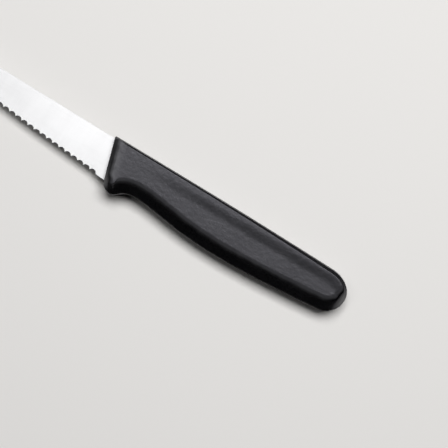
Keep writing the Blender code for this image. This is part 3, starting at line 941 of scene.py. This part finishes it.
def black_plastic():
    """Black moulded plastic with a fine grain, rubbed corners, a painted highlight behind the front face and
    a few hairline scratches.
    """
    material, tree, shader = new_material("black_plastic")
    coordinates = tree.nodes.new("ShaderNodeTexCoord").outputs
    place = coordinates["Object"]
    wear_and_highlight = add(tree, "ShaderNodeAttribute", {}, attribute_name="wear_and_highlight").outputs["Fac"]
    facing = add(tree, "ShaderNodeSeparateXYZ", {"Vector": coordinates["Normal"]}).outputs["Z"]
    level = combine(tree, "ABSOLUTE", facing, 0)
    scratches = plastic_scratches(tree, place, level)
    roughness = plastic_roughness(tree, place, level, wear_and_highlight, scratches)
    tree.links.new(plastic_colour(tree, place, wear_and_highlight, scratches), shader.inputs["Base Color"])
    tree.links.new(roughness, shader.inputs["Roughness"])
    tree.links.new(plastic_relief(tree, place, scratches), shader.inputs["Normal"])
    shader.inputs["Specular IOR Level"].default_value = PLASTIC_SPECULAR
    shader.inputs["Specular Tint"].default_value = (*PLASTIC_SHEEN, 1)
    return material


def satin_steel(name, line, line_depth, roughness):
    """Stainless steel with the fine lines that a belt leaves, and hairline scratches."""
    material, tree, shader = new_material(name)
    place = tree.nodes.new("ShaderNodeTexCoord").outputs["Object"]
    lines = speckle(tree, place, line, LINE_DETAIL)
    scratches = crossed_hairlines(tree, place, STEEL_SCRATCHES)
    least = roughness - ROUGHNESS_SPREAD
    most = roughness + ROUGHNESS_SPREAD
    clouds = ramp(tree, speckle(tree, place, *STEEL_CLOUDS), *NOISE_SPAN, least, most)
    streaked = combine(tree, "ADD", clouds, ramp(tree, lines, *NOISE_SPAN, -LINE_DULLING, LINE_DULLING))
    dulling = combine(tree, "MULTIPLY", scratches, STEEL_SCRATCH_DULLING)
    tree.links.new(combine(tree, "ADD", streaked, dulling), shader.inputs["Roughness"])
    shader.inputs["Base Color"].default_value = (*STEEL_COLOUR, 1)
    shader.inputs["Metallic"].default_value = 1
    ground = bump(tree, lines, line_depth)
    scored = bump(tree, combine(tree, "SUBTRACT", 1, scratches), STEEL_SCRATCH_DEPTH, ground)
    tree.links.new(scored, shader.inputs["Normal"])
    return material


def camera_share(tree):
    """1 for what the camera sees directly, and 0 for light and reflections."""
    return tree.nodes.new("ShaderNodeLightPath").outputs["Is Camera Ray"]


def pale_floor():
    """Matt and pale; far from the knife, and for the camera alone, it gives way to the backdrop's tone."""
    material, tree, shader = new_material("pale_floor")
    shader.inputs["Base Color"].default_value = (*FLOOR_COLOUR, 1)
    shader.inputs["Roughness"].default_value = FLOOR_ROUGHNESS
    shader.inputs["Specular IOR Level"].default_value = 0.0
    place = tree.nodes.new("ShaderNodeTexCoord").outputs["Object"]
    away = add(tree, "ShaderNodeVectorMath", {0: place}, operation="LENGTH").outputs["Value"]
    share = combine(tree, "MULTIPLY", camera_share(tree), ramp(tree, away, FADE_START, FADE_END, 0, 1))
    backdrop = add(tree, "ShaderNodeEmission", {"Color": (*BACKDROP_COLOUR, 1), "Strength": 1})
    mixed = add(tree, "ShaderNodeMixShader", {0: share, 1: shader.outputs[0], 2: backdrop.outputs[0]})
    tree.links.new(mixed.outputs[0], tree.nodes["Material Output"].inputs["Surface"])
    return material


# Stage


def softbox(name, tilt, azimuth, distance, size, radiance):
    """A rectangular soft light that faces the knife from an angle off the zenith; azimuth 0 is +X."""
    data = bpy.data.lights.new(name, "AREA")
    data.shape = "RECTANGLE"
    data.size, data.size_y = size
    data.energy = radiance * size[0] * size[1] * math.pi
    light = bpy.data.objects.new(name, data)
    turn = math.radians(azimuth)
    lean = math.radians(tilt)
    aim = Vector((math.sin(lean) * math.cos(turn), math.sin(lean) * math.sin(turn), math.cos(lean)))
    light.location = Vector(VIEW_CENTRE) + aim * distance
    light.rotation_euler = aim.to_track_quat("Z", "Y").to_euler()
    light.visible_camera = False
    bpy.context.scene.collection.objects.link(light)


def make_floor():
    mesh = bpy.data.meshes.new("floor")
    shape = bmesh.new()
    bmesh.ops.create_grid(shape, x_segments=1, y_segments=1, size=FLOOR_REACH)
    shape.to_mesh(mesh)
    shape.free()
    floor = bpy.data.objects.new("floor", mesh)
    bpy.context.scene.collection.objects.link(floor)
    mesh.materials.append(pale_floor())


def make_world():
    """A dim room, darker in front and overhead, where the camera itself sees the backdrop's tone."""
    world = bpy.data.worlds.new("studio")
    world.use_nodes = True
    tree = world.node_tree
    room = tree.nodes["Background"]
    way = tree.nodes.new("ShaderNodeTexCoord").outputs["Generated"]
    parts = add(tree, "ShaderNodeSeparateXYZ", {"Vector": way}).outputs
    back = ramp(tree, parts["Y"], *ROOM_FRONT_TO_BACK, 0, ROOM_LIGHT)
    walls = combine(tree, "MULTIPLY", back, ramp(tree, parts["Z"], *ROOM_WALL_TO_CEILING, 1, 0))
    tree.links.new(combine(tree, "ADD", walls, ROOM_DARK), room.inputs["Strength"])
    backdrop = add(tree, "ShaderNodeBackground", {"Color": (*BACKDROP_COLOUR, 1), "Strength": 1})
    sockets = {0: camera_share(tree), 1: room.outputs[0], 2: backdrop.outputs[0]}
    mixed = add(tree, "ShaderNodeMixShader", sockets)
    tree.links.new(mixed.outputs[0], tree.nodes["World Output"].inputs["Surface"])
    bpy.context.scene.world = world


def make_camera():
    data = bpy.data.cameras.new("camera")
    data.lens = LENS
    data.sensor_width = SENSOR
    data.clip_start = CLIP_START
    camera = bpy.data.objects.new("camera", data)
    camera.location = Vector(VIEW_CENTRE) + Vector((0, 0, CAMERA_HEIGHT))
    camera.rotation_euler = (0, 0, math.radians(CAMERA_TURN))
    bpy.context.scene.collection.objects.link(camera)
    bpy.context.scene.camera = camera


def main():
    bpy.context.scene.view_settings.view_transform = "Standard"
    make_camera()
    make_floor()
    make_world()
    softbox("key_light", *KEY_LIGHT)
    softbox("fill_light", *FILL_LIGHT)
    handle = make_handle()
    handle.data.materials.append(black_plastic())
    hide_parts("handle")
    blade = make_blade()
    ground_roughness = STEEL_ROUGHNESS - GROUND_POLISH
    for steel in (
        satin_steel("satin_steel", FLAT_LINE, FLAT_LINE_DEPTH, STEEL_ROUGHNESS),
        satin_steel("ground_steel", TOOTH_LINE, TOOTH_LINE_DEPTH, ground_roughness),
        satin_steel("edge_steel", EDGE_LINE, EDGE_LINE_DEPTH, STEEL_ROUGHNESS),
    ):
        blade.data.materials.append(steel)
    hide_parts("blade")
    for piece in (handle, blade):
        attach(piece, "root")


main()
